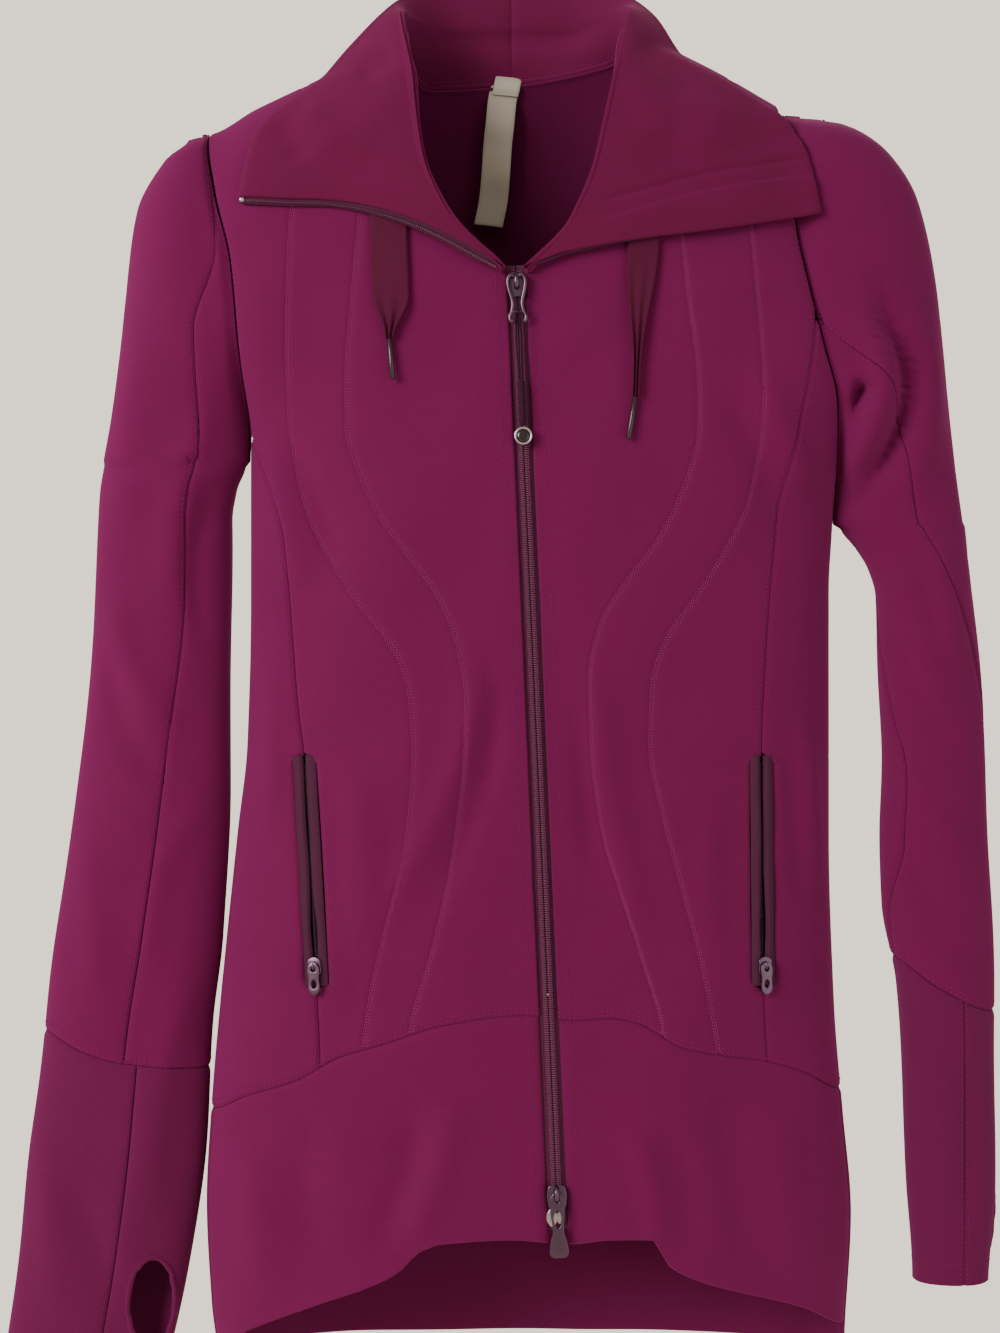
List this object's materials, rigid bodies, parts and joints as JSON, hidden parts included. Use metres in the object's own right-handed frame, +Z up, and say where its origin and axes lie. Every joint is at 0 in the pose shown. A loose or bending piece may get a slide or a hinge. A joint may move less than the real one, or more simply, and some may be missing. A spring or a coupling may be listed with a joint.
{
  "type": "zip jacket",
  "caption": "fitted hip-length stretch-knit zip jacket with a folded funnel collar, two-way zip, zip pockets and thumb-hole cuffs",
  "frame": {"origin": "the seat inside the neck where a hanger carries the jacket, on the centre plane of the body", "axes": "+Z up along the hanging jacket, the front faces -Y, the wearer's left is +X"},
  "size_m": [0.584, 0.1123, 0.8295],
  "materials": {
    "knit": "matte double-knit jersey, plum",
    "collar_knit": "matte double-knit jersey, plum, two layers",
    "cuff_knit": "matte double-knit jersey, plum",
    "zip_tape": "woven polyester tape, dark plum",
    "zip_teeth": "moulded coil teeth, dark plum",
    "metal": "dark plated zinc with a plum cast",
    "cord": "flat woven cord, plum",
    "aglet": "dark moulded tip",
    "label": "pale satin tape, plain"
  },
  "bodies": {
    "root": {"centre_front_right": "knit", "contour_strip_right": "knit", "side_front_right": "knit", "side_panel_right": "knit", "hem_band_front_right": "knit", "centre_front_left": "knit", "contour_strip_left": "knit", "side_front_left": "knit", "side_panel_left": "knit", "hem_band_front_left": "knit", "back_yoke": "knit", "back_panel": "knit", "hem_band_back": "knit", "sleeve_cap_right": "knit", "sleeve_cap_left": "knit", "collar_back": "collar_knit", "zip_chain_right": "zip_teeth", "zip_tape_right": "zip_tape", "zip_chain_left": "zip_teeth", "zip_tape_left": "zip_tape", "zip_retainer_box": "metal", "pocket_welt_right": "zip_tape", "pocket_zip_right": "zip_teeth", "pocket_bag_right": "knit", "pocket_welt_left": "zip_tape", "pocket_zip_left": "zip_teeth", "pocket_bag_left": "knit", "eyelet_right": "metal", "eyelet_left": "metal", "size_label": "label", "care_label": "label"},
    "arm_right": {"sleeve_outer_right": "knit", "sleeve_under_right": "knit", "cuff_right": "cuff_knit"},
    "arm_left": {"sleeve_outer_left": "knit", "sleeve_under_left": "knit", "cuff_left": "cuff_knit"},
    "lapel_right": {"collar_leaf_right": "collar_knit", "collar_zip_tape_right": "zip_tape"},
    "lapel_left": {"collar_leaf_left": "collar_knit", "collar_zip_tape_left": "zip_tape"},
    "slider_top_body": {"slider_top": "metal"},
    "puller_top": {"pull_top": "metal", "pull_cord": "cord", "cord_sheath": "aglet", "charm_disc": "metal"},
    "slider_bottom_body": {"slider_bottom": "metal"},
    "puller_bottom": {"pull_bottom": "metal"},
    "pocket_slider_right_body": {"pocket_slider_right": "metal"},
    "pocket_puller_right": {"pocket_pull_right": "metal"},
    "pocket_slider_left_body": {"pocket_slider_left": "metal"},
    "pocket_puller_left": {"pocket_pull_left": "metal"},
    "tie_right": {"drawcord_right": "cord", "aglet_right": "aglet"},
    "tie_left": {"drawcord_left": "cord", "aglet_left": "aglet"}
  },
  "joints": [
    {"name": "main_zip_top_slide", "type": "slide", "parent": "root", "child": "slider_top_body", "axis": [0.044, -0.0142, -0.9989], "range_m": [0, 0.3]},
    {"name": "main_puller_swing", "type": "hinge", "parent": "slider_top_body", "child": "puller_top", "pos_m": [0.00224, -0.05468, -0.13153], "axis": [-0.999, 0, -0.044], "range_deg": [0, 120]},
    {"name": "main_zip_bottom_slide", "type": "slide", "parent": "root", "child": "slider_bottom_body", "axis": [-0.044, 0.0142, 0.9989], "range_m": [0, 0.1]},
    {"name": "bottom_puller_swing", "type": "hinge", "parent": "slider_bottom_body", "child": "puller_bottom", "pos_m": [0.02517, -0.06206, -0.65217], "axis": [-0.999, 0, -0.044], "range_deg": [0, 120]},
    {"name": "pocket_zip_right_slide", "type": "slide", "parent": "root", "child": "pocket_slider_right_body", "axis": [-0.0604, 0.0554, 0.9966], "range_m": [0, 0.1]},
    {"name": "pocket_puller_right_swing", "type": "hinge", "parent": "pocket_slider_right_body", "child": "pocket_puller_right", "pos_m": [-0.11365, -0.04817, -0.52387], "axis": [-0.9599, 0.2705, -0.0732], "range_deg": [0, 110]},
    {"name": "pocket_zip_left_slide", "type": "slide", "parent": "root", "child": "pocket_slider_left_body", "axis": [-0.0081, 0.0088, 0.9999], "range_m": [0, 0.1]},
    {"name": "pocket_puller_left_swing", "type": "hinge", "parent": "pocket_slider_left_body", "child": "pocket_puller_left", "pos_m": [0.14551, -0.04489, -0.52395], "axis": [-0.9529, -0.3033, -0.0051], "range_deg": [0, 110]},
    {"name": "lapel_right_fold", "type": "hinge", "parent": "root", "child": "lapel_right", "pos_m": [-0.006, -0.057, -0.124], "axis": [-0.4205, 0.0566, 0.9055], "range_deg": [0, 65]},
    {"name": "lapel_left_fold", "type": "hinge", "parent": "root", "child": "lapel_left", "pos_m": [0.011, -0.057, -0.124], "axis": [-0.4062, -0.058, -0.9119], "range_deg": [0, 65]},
    {"name": "arm_right_swing", "type": "hinge", "parent": "root", "child": "arm_right", "pos_m": [-0.206, 0, -0.292], "axis": [0, 1, 0], "range_deg": [0, 35]},
    {"name": "arm_left_swing", "type": "hinge", "parent": "root", "child": "arm_left", "pos_m": [0.243, 0, -0.33], "axis": [0, -1, 0], "range_deg": [0, 35]},
    {"name": "tie_right_swing", "type": "hinge", "parent": "root", "child": "tie_right", "pos_m": [-0.071, -0.05, -0.042], "axis": [-0.119, -0.9928, 0.014], "range_deg": [-9, 9]},
    {"name": "tie_left_swing", "type": "hinge", "parent": "root", "child": "tie_left", "pos_m": [0.076, -0.0502, -0.06], "axis": [0.109, -0.9939, 0.014], "range_deg": [-9, 9]}
  ]
}
